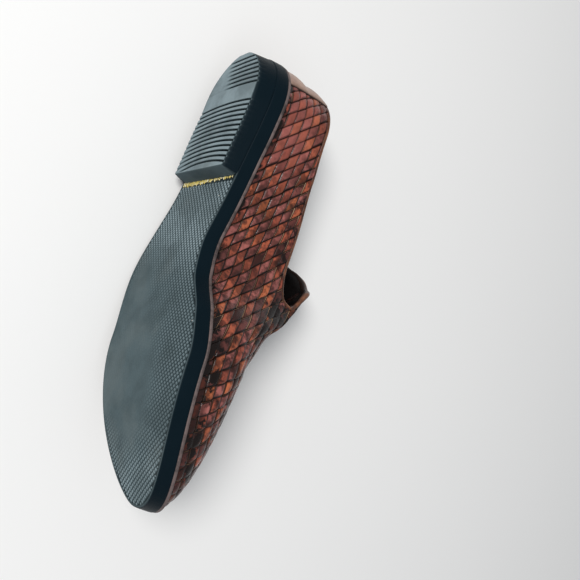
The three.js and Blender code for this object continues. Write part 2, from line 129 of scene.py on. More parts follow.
def underside(x):
    """Height of the sole's ground face: seat over the heel, waist down to the tread, lifted toe."""
    x = np.asarray(x, float)
    seat_slope = (BREAST_HEIGHT - SEAT_HEIGHT) / BREAST
    seat = SEAT_HEIGHT + seat_slope * x
    t = np.clip((x - BREAST) / (TREAD_START - BREAST), 0, 1)
    waist = BREAST_HEIGHT * (1 + 2 * t) * (1 - t) ** 2
    waist = waist + seat_slope * (TREAD_START - BREAST) * t * (1 - t) ** 2
    toe = TOE_SPRING * (np.maximum(x - BALL, 0) / TOE_LENGTH) ** 2
    return np.where(x < BREAST, seat, np.where(x < TREAD_START, waist, toe))


def columns(side, run):
    """Upright planes from the middle line out to the edge, fanned round the heel and the toe."""
    run = np.asarray(run, float)
    middle = np.clip(run, HEEL_CENTRE, BALL)
    half = half_width[side](middle) - side * across(middle)
    heel, toe = run < HEEL_CENTRE, run > BALL
    turn = np.where(heel, (run - HEEL_CENTRE) / HEEL_RUN, np.where(toe, (run - BALL) / TOE_RUN, 0))
    turn = turn * math.pi / 2
    power = np.where(heel, HEEL_ROUND, TOE_ROUND[side])
    along = np.where(heel, HEEL_CENTRE, TOE_LENGTH)
    reach = np.abs(np.sin(turn) / along) ** power + np.abs(np.cos(turn) / half) ** power
    reach = reach ** (-1 / power)
    return {"side": side, "run": run, "middle": middle, "turn": turn, "reach": reach}


def stand(plane, radius, height):
    """Points of the standing shoe at a distance from the middle line; height may follow x."""
    x = plane["middle"] + np.sin(plane["turn"]) * radius
    swing = TOE_SWING * (np.maximum(x - BALL, 0) / TOE_LENGTH) ** 2
    y = across(plane["middle"]) + plane["side"] * np.cos(plane["turn"]) * radius + swing
    z = height(x) if callable(height) else height + 0 * x
    return np.stack([x, y, z], -1)


def runs_along(heel_steps, middle_steps, toe_steps):
    """Places along the shoe from the back of the heel to the tip of the toe."""
    heel = np.linspace(RUN_BACK, HEEL_CENTRE, heel_steps, endpoint=False)
    middle = np.linspace(HEEL_CENTRE, BALL, middle_steps, endpoint=False)
    return np.concatenate([heel, middle, np.linspace(BALL, RUN_TOE, toe_steps)])


# columns from the back of the heel along the inner side to the toe, and back on the outer side
sole_runs = runs_along(26, 66, 44)
sole_planes = [columns(INNER, sole_runs), columns(OUTER, sole_runs[-2:0:-1])]


def loop(inset, height, share=1.0):
    """A closed loop of points round the sole, at a distance in from its outline."""
    return np.vstack([stand(p, share * (p["reach"] - inset), height) for p in sole_planes])


def layers(rows, base, first_inset=0.0):
    """Loops over a height that follows the sole, one a row: share of the way out, inset, rise."""
    return [loop(first_inset + inset, lambda x, rise=rise: base(x) + rise, share)
            for share, inset, rise in rows]


def bands(rows, count, closed=True, first=0, turned=False):
    """Quads between rows of points that hold the same number of points, turned over where asked."""
    faces = []
    for i in range(rows - 1):
        low, high = first + i * count, first + (i + 1) * count
        for k in range(count if closed else count - 1):
            n = (k + 1) % count
            quad = (low + k, low + n, high + n, high + k)
            faces.append(quad[::-1] if turned else quad)
    return faces


def make_piece(name, points, faces, material, marks=None, sharp=40, weld=False):
    """A mesh from standing points in mm; marks are values kept on its corners for its material."""
    mesh = bpy.data.meshes.new(name)
    mesh.from_pydata(lay(points).tolist(), [], faces)
    for mark, values in (marks or {}).items():
        layer = mesh.attributes.new(mark, "FLOAT", "POINT")
        layer.data.foreach_set("value", np.asarray(values, np.float32))
    if weld:
        work = bmesh.new()
        work.from_mesh(mesh)
        bmesh.ops.remove_doubles(work, verts=work.verts, dist=2e-6)
        bmesh.ops.dissolve_degenerate(work, edges=work.edges, dist=1e-6)
        work.to_mesh(mesh)
        work.free()
    mesh.validate()
    mesh.shade_smooth()
    mesh.set_sharp_from_angle(angle=math.radians(sharp))
    mesh.materials.append(material)
    piece = bpy.data.objects.new(name, mesh)
    bpy.context.scene.collection.objects.link(piece)
    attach(piece, "root")
    return piece


def make_layers(name, rings, material, **settings):
    """A piece whose skin runs through closed loops of points, one after the other."""
    return make_piece(name, np.vstack(rings), bands(len(rings), len(rings[0])), material, **settings)


def node(tree, kind, inputs=None, **settings):
    """One shader node; inputs are values or the sockets that feed them."""
    made = tree.nodes.new(kind)
    for key, value in settings.items():
        setattr(made, key, value)
    for key, value in (inputs or {}).items():
        if isinstance(value, bpy.types.NodeSocket):
            tree.links.new(value, made.inputs[key])
        else:
            made.inputs[key].default_value = value
    return made


def shader(name):
    """A new material with an empty tree, its surface shader and the piece's own coordinates."""
    material = bpy.data.materials.new(name)
    material.use_nodes = True
    tree = material.node_tree
    tree.nodes.clear()
    surface = node(tree, "ShaderNodeBsdfPrincipled")
    output = node(tree, "ShaderNodeOutputMaterial")
    tree.links.new(surface.outputs[0], output.inputs[0])
    place = node(tree, "ShaderNodeTexCoord").outputs["Object"]
    return material, tree, surface, place


def mark_of(tree, name):
    """A value that the mesh keeps on its corners."""
    return node(tree, "ShaderNodeAttribute", attribute_name=name).outputs["Fac"]


def blend(tree, factor, a, b):
    """Mixes two colours and gives the mixed colour's socket."""
    mixed = node(tree, "ShaderNodeMix", {"Factor": factor}, data_type="RGBA")
    for key, value in ((6, a), (7, b)):
        if isinstance(value, bpy.types.NodeSocket):
            tree.links.new(value, mixed.inputs[key])
        else:
            mixed.inputs[key].default_value = (*value, 1)
    return mixed.outputs[2]


def math_of(tree, kind, a, b=0.0, limit=False):
    """Two values put together by one sum."""
    return node(tree, "ShaderNodeMath", {0: a, 1: b}, operation=kind, use_clamp=limit).outputs[0]


def spread(tree, value, low, high, to_low=0.0, to_high=1.0):
    """A value stretched from one range to another, held at its ends."""
    settings = {"Value": value, "From Min": low, "From Max": high, "To Min": to_low, "To Max": to_high}
    return node(tree, "ShaderNodeMapRange", settings, interpolation_type="SMOOTHSTEP").outputs[0]


def noise(tree, place, scale, detail=3.0, rough=0.55):
    """A cloudy value from 0 to 1."""
    settings = {"Vector": place, "Scale": scale, "Detail": detail, "Roughness": rough}
    return node(tree, "ShaderNodeTexNoise", settings).outputs["Fac"]


def emboss(tree, surface, height, strength, depth=0.0003):
    """Bump on a surface, from a height that changes over it."""
    relief = node(tree, "ShaderNodeBump", {"Height": height, "Strength": strength, "Distance": depth})
    tree.links.new(relief.outputs[0], surface.inputs["Normal"])


def new_group(name, inputs, outputs):
    """A shader node group with named value sockets, and the nodes at its two ends."""
    group = bpy.data.node_groups.new(name, "ShaderNodeTree")
    group.interface.new_socket("Place", in_out="INPUT", socket_type="NodeSocketVector")
    for key, value in inputs.items():
        socket = group.interface.new_socket(key, in_out="INPUT", socket_type="NodeSocketFloat")
        socket.default_value = value
    for key in outputs:
        group.interface.new_socket(key, in_out="OUTPUT", socket_type="NodeSocketFloat")
    return group, group.nodes.new("NodeGroupInput").outputs, group.nodes.new("NodeGroupOutput")


def use_group(tree, group, place, **values):
    """Places a group in a material with its own values, and gives its outputs."""
    made = node(tree, "ShaderNodeGroup", node_tree=group)
    tree.links.new(place, made.inputs["Place"])
    for key, value in values.items():
        made.inputs[key].default_value = value
    return made.outputs


# Dust: soft clouds of grey that settle on rubber, and scattered light specks of grit.
dust, dust_in, dust_out = new_group("Dust", {"Cloud": 40.0, "Grit": 260.0}, ("Cloud", "Grit"))
clouds = noise(dust, dust_in["Place"], dust_in["Cloud"], 6.0, 0.62)
dust.links.new(spread(dust, clouds, 0.38, 0.68), dust_out.inputs["Cloud"])
specks = node(dust, "ShaderNodeTexVoronoi", {"Vector": dust_in["Place"], "Scale": dust_in["Grit"]})
near = spread(dust, specks.outputs["Distance"], 0.05, 0.09, 1.0, 0.0)
rare = spread(dust, specks.outputs["Color"], 0.93, 0.95)
dust.links.new(math_of(dust, "MULTIPLY", near, rare), dust_out.inputs["Grit"])

# Rubber grain: the fine bite that a mould leaves, with faint longer scuffs.
rubber_grain, grain_in, grain_out = new_group("Rubber grain", {"Bite": 1800.0}, ("Height",))
fine = noise(rubber_grain, grain_in["Place"], grain_in["Bite"], 2.0)
scuffs = noise(rubber_grain, grain_in["Place"], 240.0, 5.0, 0.7)
rubber_grain.links.new(math_of(rubber_grain, "ADD", fine, scuffs), grain_out.inputs["Height"])

WALL_NAVY = (0.0018, 0.007, 0.0115)
WALL_SHEEN = (0.0035, 0.0105, 0.016)
# from the tops of studs and ribs, over worn rubber, to the bottom of the grooves; the dark end is painted
# shade in the grooves and between the studs
GROUND_SHADE_TONES = [
    (0.0, (0.262, 0.33, 0.36)),
    (0.5, (0.075, 0.107, 0.119)),
    (1.0, (0.006, 0.011, 0.0145)),
]
CLOUD_SLATE = (0.04, 0.057, 0.062)
GRIT_PALE = (0.6, 0.6, 0.56)
DUST_GREY = (0.15, 0.175, 0.175)


def tone_ramp(tree, factor, stops):
    """A colour ramp through the given places and colours."""
    ramp = node(tree, "ShaderNodeValToRGB", {"Fac": factor})
    while len(ramp.color_ramp.elements) < len(stops):
        ramp.color_ramp.elements.new(0.5)
    for element, (position, colour) in zip(ramp.color_ramp.elements, stops):
        element.position = position
        element.color = (*colour, 1)
    return ramp.outputs[0]


def rubber(name, bump):
    """Black rubber: smooth and navy on the walls, slate grey and dusty where it meets the ground, with
    painted shade in its grooves.
    """
    material, tree, surface, place = shader(name)
    ground, shade_and_wear = mark_of(tree, "ground"), mark_of(tree, "shade_and_wear")
    cloud, grit = use_group(tree, dust, place, Cloud=38.0, Grit=190.0)
    wall = blend(tree, noise(tree, place, 55.0, 4.0), WALL_NAVY, WALL_SHEEN)
    # painted shade: the ground face darkens with the depth of its grooves and gaps; worn rubber takes a
    # middle tone
    slate = tone_ramp(tree, shade_and_wear, GROUND_SHADE_TONES)
    slate = blend(tree, spread(tree, cloud, 0.0, 1.0, 0.0, 0.42), slate, CLOUD_SLATE)
    patches = noise(tree, place, 16.0, 5.0, 0.6)
    slate = blend(tree, spread(tree, patches, 0.5, 0.68, 0.0, 0.28), slate, DUST_GREY)
    slate = blend(tree, grit, slate, GRIT_PALE)
    tree.links.new(blend(tree, ground, wall, slate), surface.inputs["Base Color"])
    tree.links.new(spread(tree, ground, 0.0, 1.0, 0.45, 0.72), surface.inputs["Roughness"])
    surface.inputs["Specular IOR Level"].default_value = 0.06
    emboss(tree, surface, use_group(tree, rubber_grain, place)["Height"], bump, 0.0004)
    return material


outsole_rubber = rubber("outsole rubber", 0.25)
SOLE_FLARE = 1.3
EDGE = 0.8
FIELD_SINK = 0.45
RIM_WIDTH = 0.3
# distance in from the outline, height over the ground face
WALL_PROFILE = [
    (SOLE_FLARE + EDGE, 0.0),
    (SOLE_FLARE + 0.36, 0.1),
    (SOLE_FLARE + 0.1, 0.36),
    (SOLE_FLARE, EDGE),
    (0.95, 2.6),
    (0.55, 4.8),
    (0.2, 6.8),
    (0.0, SOLE_WALL - EDGE),
    (0.06, SOLE_WALL - 0.36),
    (0.2, SOLE_WALL - 0.1),
    (0.45, SOLE_WALL),
]
rim_inset = SOLE_FLARE + EDGE + RIM_WIDTH
sole_rows = [(share, 0, FIELD_SINK) for share in (0.0, 0.15, 0.3, 0.45, 0.6, 0.75, 0.87)]
sole_rows += [(1.0, rim_inset + 0.5, FIELD_SINK)]
field_rows = len(sole_rows)
sole_rows += [(1.0, rim_inset, 0.0)]
sole_rows += [(1.0, inset, rise) for inset, rise in WALL_PROFILE]
wall_start = field_rows + 2
sole_rows += [(0.6, 0, SOLE_WALL), (0.0, 0, SOLE_WALL)]
rings = layers(sole_rows, underside)


def ease(value):
    """0 up to 0 and 1 from 1 on, with a smooth step between."""
    value = np.clip(value, 0, 1)
    return value * value * (3 - 2 * value)


# middle of a worn spot along and across the shoe, its reach along and across
WORN_SPOTS = [(205, 12, 46, 30), (238, -6, 30, 24), (180, 34, 40, 16), (225, 34, 34, 18)]


def tread_wear(x, y):
    """1 where the tread is worn flat, 0 where it is sharp."""
    wear = 0.0
    for along, aside, long, wide in WORN_SPOTS:
        wear = wear + np.exp(-(((x - along) / long) ** 2 + ((y - aside) / wide) ** 2) ** 1.5)
    return np.clip(wear, 0, 1)


# tones of the ground face on the ramp above: painted shade between the studs, worn rubber where they are
# worn away, the plain rim
FIELD_SHADE = 0.93
WORN_TONE = 0.5
RIM_TONE = 0.6
ground, shade_and_wear = [], []
for i, ring in enumerate(rings):
    x, y = ring[:, 0], ring[:, 1]
    share = 1.0 if i < wall_start else (0.5 if i == wall_start else 0.0)
    ground.append(share * (x > BREAST - 1))
    field = FIELD_SHADE + (WORN_TONE - FIELD_SHADE) * tread_wear(x, y)
    shade_and_wear.append(field if i < field_rows else np.full(len(ring), RIM_TONE))
outsole_marks = {"ground": np.concatenate(ground), "shade_and_wear": np.concatenate(shade_and_wear)}
outsole = make_layers("outsole_unit", rings, outsole_rubber, marks=outsole_marks, sharp=50)
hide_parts("outsole")


# TREAD
# Small square studs set cornerwise over the sunk ground face, moulded with the outsole. Walking has worn
# them away under the ball and along the outer side, and left them sharp at the waist and the inner edge.
STUD_STEP = 1.68
STUD_BASE = 1.56
STUD_TOP = 0.84
STUD_HEIGHT = 0.55
STUD_WORN_OFF = 0.86
TREAD_MIDDLE = BREAST + 100


def outline_room(x, y):
    """How far a point of the ground face lies inside the sole's outline, in mm."""
    rim = loop(0, 0.0)[:, :2]
    places = np.stack([x, y], -1)
    ends = np.roll(rim, -1, axis=0)
    edge = ends - rim
    gap = places[:, None] - rim[None]
    t = np.clip((gap * edge).sum(-1) / (edge * edge).sum(-1), 0, 1)
    distance = np.linalg.norm(gap - t[..., None] * edge, axis=-1).min(1)
    crossing = (rim[None, :, 1] > y[:, None]) != (ends[None, :, 1] > y[:, None])
    rise = np.where(edge[:, 1] == 0, 1e-9, edge[:, 1])
    cut = rim[:, 0] + (y[:, None] - rim[:, 1]) * edge[:, 0] / rise
    inside = (crossing & (x[:, None] < cut)).sum(1) % 2 == 1
    return np.where(inside, distance, -distance)


steps_along = np.arange(-64, 66)
steps_across = np.arange(-38, 39)
stud_x, stud_y = np.meshgrid(steps_along, steps_across)
staggered = (stud_x + stud_y) % 2 == 0
stud_x = TREAD_MIDDLE + stud_x[staggered] * STUD_STEP
stud_y = stud_y[staggered] * STUD_STEP
room = outline_room(stud_x, stud_y)
kept = (room > rim_inset + 0.4) & (stud_x > BREAST + 3)
stud_x, stud_y = stud_x[kept], stud_y[kept]
stud_size = np.clip((room[kept] - rim_inset + 0.1) / STUD_BASE, 0.3, 1)
wear = tread_wear(stud_x, stud_y)
draws = np.random.default_rng(11)
stud_rise = STUD_HEIGHT * (1 - STUD_WORN_OFF * wear) * draws.uniform(0.9, 1.08, len(wear))
base, top = [], []
for turn in (0, 1, 2, 3):
    way = np.array((math.cos(turn * math.pi / 2), math.sin(turn * math.pi / 2)))
    for ring, size, rise in ((base, STUD_BASE, -0.1), (top, STUD_TOP, stud_rise)):
        x, y = stud_x + way[0] * size * stud_size, stud_y + way[1] * size * stud_size
        ring.append(np.stack([x, y, underside(x) + FIELD_SINK - rise], -1))
stud_points = np.stack(base + top, 1).reshape(-1, 3)
stud_faces = []
for s in range(len(stud_x)):
    b = 8 * s
    stud_faces.append((b + 7, b + 6, b + 5, b + 4))
    for k in range(4):
        n = (k + 1) % 4
        stud_faces.append((b + k, b + 4 + k, b + 4 + n, b + n))
# the studs' tops are pale at the waist and the tip of the toe, and darker between as painted shade over the
# forefoot; their feet are painted shade at the bottom of the gaps
forefoot_shade = 0.05 + 0.3 * ease((stud_x - 130) / 40) * (1 - 0.85 * ease((stud_x - 252) / 22))
STUD_FOOT_SHADE = 0.98
stud_shade_and_wear = np.stack([np.full(len(stud_x), STUD_FOOT_SHADE)] * 4 + [forefoot_shade] * 4, 1).ravel()
stud_shade_and_wear = stud_shade_and_wear + (WORN_TONE - stud_shade_and_wear) * np.repeat(wear, 8)
tread = make_piece("tread_studs", stud_points, stud_faces, outsole_rubber,
                   {"ground": np.ones(len(stud_points)), "shade_and_wear": stud_shade_and_wear}, sharp=25)


# HEEL BLOCK
# A rubber block glued under the seat. Bowed grooves are moulded across its ground face before and behind
# a plain band; the outer back corner, where the foot lands, is worn smooth.
HEEL_TAPER = 3.6
HEEL_TOP_INSET = 1.9
BREAST_LEAN = 1.2
RIB_PITCH = 3.4
RIB_RADIUS = 89.0
RIB_STRAIGHTER = 2.5
RIB_MIDDLE = 3.0
GROOVE_DEPTH = 1.5
# distance behind a groove's front edge, share of its depth
GROOVE_PROFILE = ((0, 0.0), (0.13, 0.1), (0.34, 1.0), (1.46, 1.0), (1.67, 0.1), (1.8, 0.0))
# before and behind the plain band: distance of the first groove from the breast, number of grooves
GROOVE_GROUPS = ((4.6, 13), (58, 7))
heel_front = BREAST - BREAST_LEAN
groove_fronts = []
for first, number in GROOVE_GROUPS:
    groove_fronts += [heel_front - first - i * RIB_PITCH for i in range(number)]


def heel_wear(x, y):
    """1 where the grooves are worn away: the outer back corner, and a little along the outer edge."""
    back = ease((52 - x) / 24)
    outer = ease((y + 7 - 0.25 * (40 - x)) / 16)
    outer_edge = 0.75 * ease((y - 20) / 14)
    return np.clip(np.maximum(back * outer, outer_edge), 0, 1)


# Rows of points across the ground face: the straight front edge, one at each bend of the grooves, the back
bottom_inset = HEEL_TOP_INSET + HEEL_TAPER
front_line = heel_front - 1.0
row_fronts, row_depths = [], []
for start in groove_fronts:
    for step, depth in GROOVE_PROFILE:
        row_fronts.append(start - step)
        row_depths.append(depth * GROOVE_DEPTH)
last_groove = row_fronts[-1]
heel_back = bottom_inset + 0.6
for share in (0.3, 0.6, 0.8, 0.92, 1.0):
    row_fronts.append(last_groove + (heel_back - last_groove) * share)
    row_depths.append(0.0)

heel_runs = np.linspace(RUN_BACK, HEEL_CENTRE, 90)
heel_runs = np.concatenate([heel_runs, np.linspace(HEEL_CENTRE + 0.5, BREAST, 120)])
heel_sides = {side: columns(side, heel_runs) for side in (INNER, OUTER)}


def bowed(front, y):
    """x of a groove's front edge at a place across the heel; none passes the straight front edge."""
    bow = RIB_RADIUS + RIB_STRAIGHTER * (BREAST - front)
    return np.minimum(front + bow - np.sqrt(bow ** 2 - (y - RIB_MIDDLE) ** 2), front_line)


def heel_edge(side, front):
    """The run at which a row meets the edge of the ground face."""
    rim = stand(heel_sides[side], heel_sides[side]["reach"] - bottom_inset, 0.0)
    past = rim[:, 0] - (front_line if front is None else bowed(front, rim[:, 1]))
    i = max(int(np.argmax(past >= 0)), 1)
    t = past[i - 1] / (past[i - 1] - past[i]) if past[i] > past[i - 1] else 0.0
    return heel_runs[i - 1] + np.clip(t, 0, 1) * (heel_runs[i] - heel_runs[i - 1])


edge_shares = np.array((0, 0.008, 0.025, 0.05))
across_shares = np.concatenate([edge_shares, np.linspace(0.09, 0.91, 25), 1 - edge_shares[::-1]])
ACROSS = len(across_shares)
heel_rows, groove_shade_rows, edge_runs = [], [], {INNER: [], OUTER: []}
for front, depth in zip([None] + row_fronts, [0.0] + row_depths):
    ends = []
    for side in (INNER, OUTER):
        run = heel_edge(side, front)
        edge_runs[side].append(run)
        plane = columns(side, [run])
        ends.append(stand(plane, plane["reach"] - bottom_inset, 0.0)[0])
    y = ends[0][1] + across_shares * (ends[1][1] - ends[0][1])
    x = np.full(ACROSS, front_line) if front is None else bowed(front, y)
    x[0], x[-1] = ends[0][0], ends[1][0]
    left = depth * (1 - heel_wear(x, y)) * ease((front_line - x) / 1.6)
    left = left * (1 - 0.55 * ease((0.03 - across_shares) / 0.03))
    heel_rows.append(np.stack([x, y, left], -1))
    # painted shade: the ground face darkens with the depth of each groove
    groove_shade_rows.append(np.clip(0.15 + 1.5 * left / GROOVE_DEPTH, 0, 1))
rows = len(heel_rows)
ground_points = np.vstack(heel_rows)
heel_faces = bands(rows, ACROSS, closed=False, turned=True)

# The wall round the block from the ground face up to the seat, closed across the breast
loop_index = [i * ACROSS for i in range(rows)] + [i * ACROSS + ACROSS - 1 for i in range(rows)][::-1]
loop_place = [(INNER, run) for run in edge_runs[INNER]] + [(OUTER, run) for run in edge_runs[OUTER][::-1]]
loop_index += list(range(ACROSS - 2, 0, -1))
loop_place += [None] * (ACROSS - 2)
# how far the rounded foot of the wall has come out at its lowest levels, dust on each level
FOOT_OUT = (0.0, 0.3, 0.45)
LEVEL_DUST = (1.0, 0.8, 0.12, 0.0, 0.0, 0.0)
BREAST_DUST = 0.85
HEEL_WALL_TONE = 0.45
levels = []
for level in range(len(LEVEL_DUST)):
    row = []
    for index, where in zip(loop_index, loop_place):
        foot = ground_points[index]
        top = float(underside(foot[0])) - 0.25
        rise = (foot[2], foot[2] + 0.14, foot[2] + 0.5, 2.3, 0.6 * top, top)[level]
        share = rise / top
        if where is None:
            x = front_line + 0.5 + share * (BREAST - front_line - 0.5)
            if level < len(FOOT_OUT):
                x = foot[0] + FOOT_OUT[level]
            row.append((x, foot[1], rise))
        else:
            side, run = where
            plane = columns(side, [run + BREAST_LEAN * share * (run > BREAST - 6)])
            inset = HEEL_TOP_INSET + (HEEL_TAPER - FOOT_OUT[-1]) * (1 - share)
            if level < len(FOOT_OUT):
                inset = bottom_inset - FOOT_OUT[level]
            point = stand(plane, plane["reach"] - inset, 0.0)[0]
            row.append((point[0], point[1], rise))
    levels.append(np.array(row))
loop_count = len(loop_index)
heel_faces += bands(len(levels), loop_count, first=len(ground_points))
on_breast = np.array([where is None for where in loop_place])
level_ground = [np.where(on_breast, BREAST_DUST, dusty) for dusty in LEVEL_DUST]
heel_marks = {
    "ground": np.concatenate([np.ones(len(ground_points))] + level_ground),
    "shade_and_wear": np.concatenate(groove_shade_rows + [np.full(len(levels) * loop_count, HEEL_WALL_TONE)]),
}
heel_rubber = rubber("heel rubber", 0.3)
heel_points = np.vstack([ground_points] + levels)
heel = make_piece("heel_block", heel_points, heel_faces, heel_rubber, heel_marks, sharp=32)
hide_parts("heel")


# MIDSOLE
# A thin board of pressed fibre, cemented between outsole and upper. Only its trimmed edge shows, as a
# grey-brown line all round the shoe.
GAP = 0.3
MIDSOLE = 1.6
MIDSOLE_INSET = 0.08
EDGE_GREY = (0.14, 0.102, 0.098)
EDGE_DIRT = (0.045, 0.034, 0.033)
board, tree, surface, place = shader("midsole board")
streaks = noise(tree, place, 130.0, 6.0, 0.7)
streaked = blend(tree, spread(tree, streaks, 0.4, 0.65), EDGE_GREY, EDGE_DIRT)
tree.links.new(streaked, surface.inputs["Base Color"])
surface.inputs["Roughness"].default_value = 0.6
emboss(tree, surface, noise(tree, place, 900.0), 0.3)


def sole_top(x):
    """Height of the outsole's upper edge."""
    return underside(x) + SOLE_WALL


midsole_rows = [(0.0, 0, 0.06), (0.6, 0, 0.06), (1.0, 0.25, 0.06), (1.0, 0.0, 0.3), (1.0, 0.0, 1.75),
                (1.0, 0.3, 2.1), (0.6, 0, 2.15), (0.0, 0, 2.15)]
rings = layers(midsole_rows, sole_top, MIDSOLE_INSET)
midsole = make_layers("midsole_board", rings, board, sharp=50)
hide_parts("midsole")


# GLUE
# Old yellow cement that was squeezed out along the joint between the heel's breast and the waist, and has
# dried there in crumbs.
GLUE_YELLOW = (0.56, 0.45, 0.11)
GLUE_PALE = (0.78, 0.74, 0.55)
GLUE_DIRT = (0.06, 0.05, 0.03)
cement, tree, surface, place = shader("old cement")
crumbs = blend(tree, spread(tree, noise(tree, place, 420.0), 0.45, 0.7), GLUE_YELLOW, GLUE_PALE)
crumbs = blend(tree, spread(tree, noise(tree, place, 650.0, 5.0), 0.53, 0.6), crumbs, GLUE_DIRT)
tree.links.new(crumbs, surface.inputs["Base Color"])
surface.inputs["Roughness"].default_value = 0.5
GLUE_WIDTH = 2.3
GLUE_ENDS = (-19, 39)
# share of the width in front of the breast, height
GLUE_PROFILE = ((-0.5, -0.1), (0.0, 0.55), (0.45, 0.6), (0.85, 0.35), (1.1, -0.1))
draws = np.random.default_rng(5)
glue_y = np.linspace(*GLUE_ENDS, 90)
lumps = 0.55 + 0.45 * np.sin(glue_y * 1.9) * np.sin(glue_y * 0.73 + 1)
lumps = lumps + draws.uniform(-0.2, 0.2, len(glue_y))
full = np.clip(lumps + 0.35 * np.clip((glue_y - 5) / 20, -0.6, 1), 0.12, 1.3)
glue_rows = []
for share, rise in GLUE_PROFILE:
    x = BREAST + 0.4 + share * GLUE_WIDTH * full
    glue_rows.append(np.stack([x, glue_y, underside(x) - rise * full], -1))
glue_faces = bands(len(glue_rows), len(glue_y), closed=False)
make_piece("heel_glue", np.vstack(glue_rows), glue_faces, cement, sharp=60)


# INSOLE
# The board under the foot and the black leather sock that covers it, cemented in after lasting. It shows
# only through the mouth.
FEATHER_INSET = 3.2
LEATHER = 1.6
SOCK_BLACK = (0.012, 0.011, 0.011)
SOCK_WORN = (0.03, 0.026, 0.024)

# Hide grain: the pebbled pores of leather, and its slow change of tone.
hide_grain, grain_in, grain_out = new_group("Hide grain", {"Pores": 900.0, "Tone": 60.0}, ("Height", "Tone"))
pores = node(hide_grain, "ShaderNodeTexVoronoi", {"Vector": grain_in["Place"], "Scale": grain_in["Pores"]})
fold = noise(hide_grain, grain_in["Place"], 420.0, 4.0)
hide_grain.links.new(math_of(hide_grain, "ADD", pores.outputs["Distance"], fold), grain_out.inputs["Height"])
tone = noise(hide_grain, grain_in["Place"], grain_in["Tone"], 5.0, 0.6)
hide_grain.links.new(spread(hide_grain, tone, 0.3, 0.7), grain_out.inputs["Tone"])


def leather(name, dark, light, roughness, bump, tone=60.0, inside=None, gloss=0.35):
    """Plain leather with grain, from a dark tone to a light one; the mark inside gives another colour."""
    material, tree, surface, place = shader(name)
    grain = use_group(tree, hide_grain, place, Pores=900.0, Tone=tone)
    colour = blend(tree, grain["Tone"], dark, light)
    if inside:
        colour = blend(tree, mark_of(tree, "inside"), colour, inside)
    tree.links.new(colour, surface.inputs["Base Color"])
    surface.inputs["Specular IOR Level"].default_value = gloss
    dull = spread(tree, grain["Tone"], 0.0, 1.0, roughness - 0.06, roughness + 0.08)
    tree.links.new(dull, surface.inputs["Roughness"])
    emboss(tree, surface, grain["Height"], bump)
    return material


def feather(x):
    """Height of the feather edge, where the upper's wall begins."""
    return sole_top(x) + GAP + MIDSOLE + 2 * GAP


sock = leather("sock leather", SOCK_BLACK, SOCK_WORN, 0.6, 0.2, gloss=0.1)
insole_inset = FEATHER_INSET + LEATHER + 2
insole_rows = [(0.0, 0, 0.3), (0.6, 0, 0.3), (1.0, 0.2, 0.3), (1.0, 0, 0.7), (1.0, 0, 2.2), (1.0, 0.6, 2.7),
               (0.6, 0, 2.7), (0.0, 0, 2.7)]
rings = layers(insole_rows, feather, insole_inset)
insole = make_layers("insole_sock", rings, sock, sharp=50)
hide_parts("insole")


# WOVEN UPPER
# Two sets of leather strips plaited over a last, one over and one under in turn, so that the face is
# covered in diamonds. One set lies along the sole, the other climbs from it and leans back, and the
# strips of both sides meet over the crown.
TOE_SQUARE = 1.45
# place along the shoe, height of the rim on the inner side, height on the outer side
TOPLINE = np.array([
    (-20, 39, 39),
    (HEEL_CENTRE, 38.5, 44),
    (70, 43.5, 52),
    (100, 50, 70),
    (110, 51.7, 79),
    (118, 53, 86.5),
    (126, 54.3, 91.4),
    (134, 56, 93),
    (142, 58, 93.9),
    (THROAT - 5, 60.5, 93.75),
    (THROAT - 2.5, 64, 93.4),
    (THROAT - 1, 71, 93.1),
    (THROAT - 0.3, 82, 94),
    (THROAT, 96, 96),
])
# the lip of the throat: how far its middle stands back, where that begins, from which share of the height
LIP_BACK = 19.0
LIP_START = 106.0
LIP_SHARE = {INNER: 0.75, OUTER: 0.7}
rim_height = {INNER: curve(TOPLINE, 1), OUTER: curve(TOPLINE, 2)}
ARCH_STEPS = 64


def lean_back(run):
    """How far back the crown of a column leans, most at the throat."""
    behind = ease((run - LIP_START) / (THROAT - LIP_START))
    return LIP_BACK * np.where(run < THROAT, behind, 1 - ease((run - THROAT) / (BALL - THROAT)))


def walls(side, run):
    """The upper's wall in each column: an arch from the feather edge to the crown."""
    plane = columns(side, run)
    foot = plane["reach"] - FEATHER_INSET
    foot_height = stand(plane, foot, feather)[:, 2]
    middle = plane["middle"]
    lean = lean_back(plane["run"])
    top = feather(middle) + crown(middle - lean)
    toe = np.clip((plane["run"] - BALL) / TOE_RUN, 0, 1)
    power = 2 / (squareness(middle) + (TOE_SQUARE - SECTIONS[-1, 3]) * toe)
    angle = np.linspace(0, math.pi / 2, ARCH_STEPS + 1)
    radius = foot[:, None] * np.maximum(np.cos(angle), 0) ** power[:, None]
    radius = radius + swell(middle)[:, None] * np.sin(2 * angle)
    radius[:, -1] = 0
    height = foot_height[:, None] + (top - foot_height)[:, None] * np.sin(angle) ** power[:, None]
    step = np.hypot(np.diff(radius, axis=1), np.diff(height, axis=1))
    length = np.concatenate([np.zeros((len(foot), 1)), np.cumsum(step, 1)], 1)
    rise = rim_height[side](plane["run"])
    rim = np.array([np.interp(r, h - f, l) for r, h, f, l in zip(rise, height, foot_height, length)])
    rim = np.where(plane["run"] >= THROAT, length[:, -1], rim)
    return {"plane": plane, "foot": foot, "foot_height": foot_height, "radius": radius, "height": height,
            "length": length, "girth": length[:, -1], "rim": rim, "lean": lean, "top": top}


